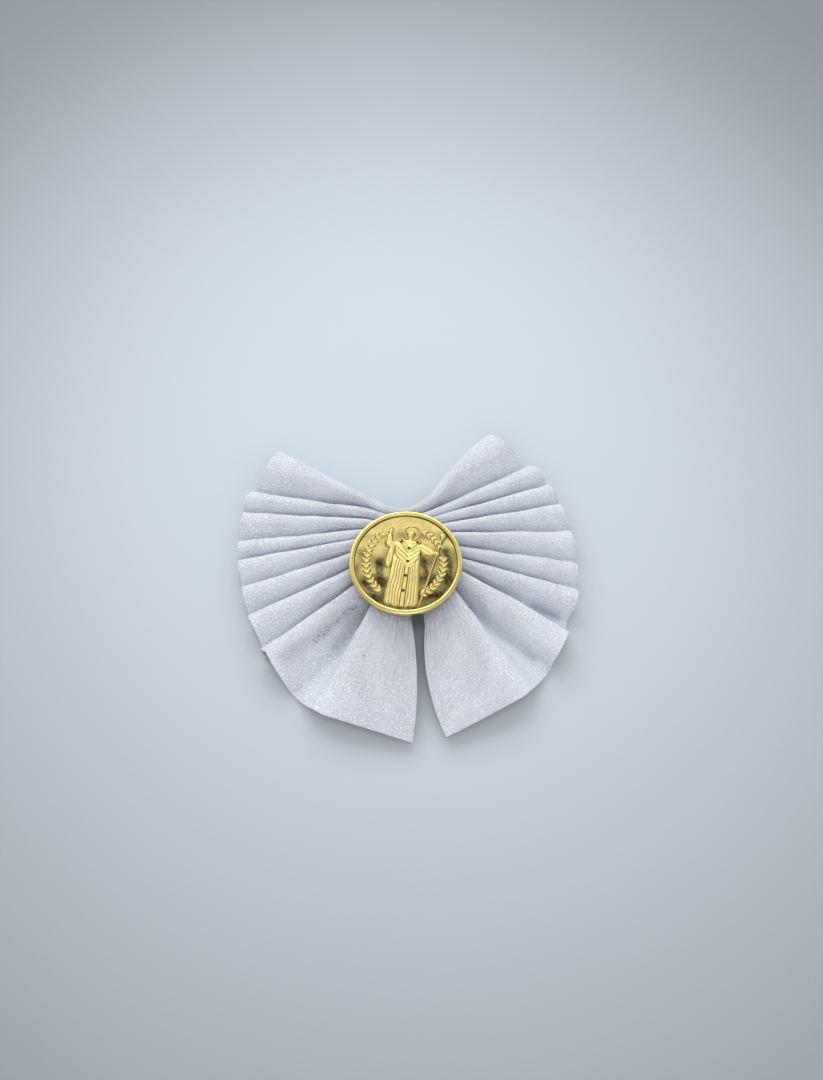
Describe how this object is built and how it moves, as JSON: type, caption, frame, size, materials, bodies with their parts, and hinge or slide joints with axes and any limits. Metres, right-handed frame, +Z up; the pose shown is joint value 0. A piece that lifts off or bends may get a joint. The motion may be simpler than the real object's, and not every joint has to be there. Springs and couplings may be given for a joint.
{
  "type": "gold medal on a leather rosette",
  "caption": "Round gold-coloured medal with a robed figure in low relief, set on a wide pleated rosette of thick white leather with a closed brooch pin behind.",
  "frame": {"origin": "centre of the whole object's box, on the surface the rosette lies on", "axes": "+Z up, the way the medal's face looks; +X to the right along the rosette's long direction; +Y away from the viewer, towards the notch between the two fans"},
  "size_m": [0.0842, 0.0792, 0.0126],
  "materials": {
    "gold": "polished field with frosted relief",
    "leather": "pebbled matte",
    "pin": "satin"
  },
  "bodies": {
    "root": {"medal": "gold", "leather_rosette": "leather", "back_pin": "pin"}
  },
  "joints": []
}
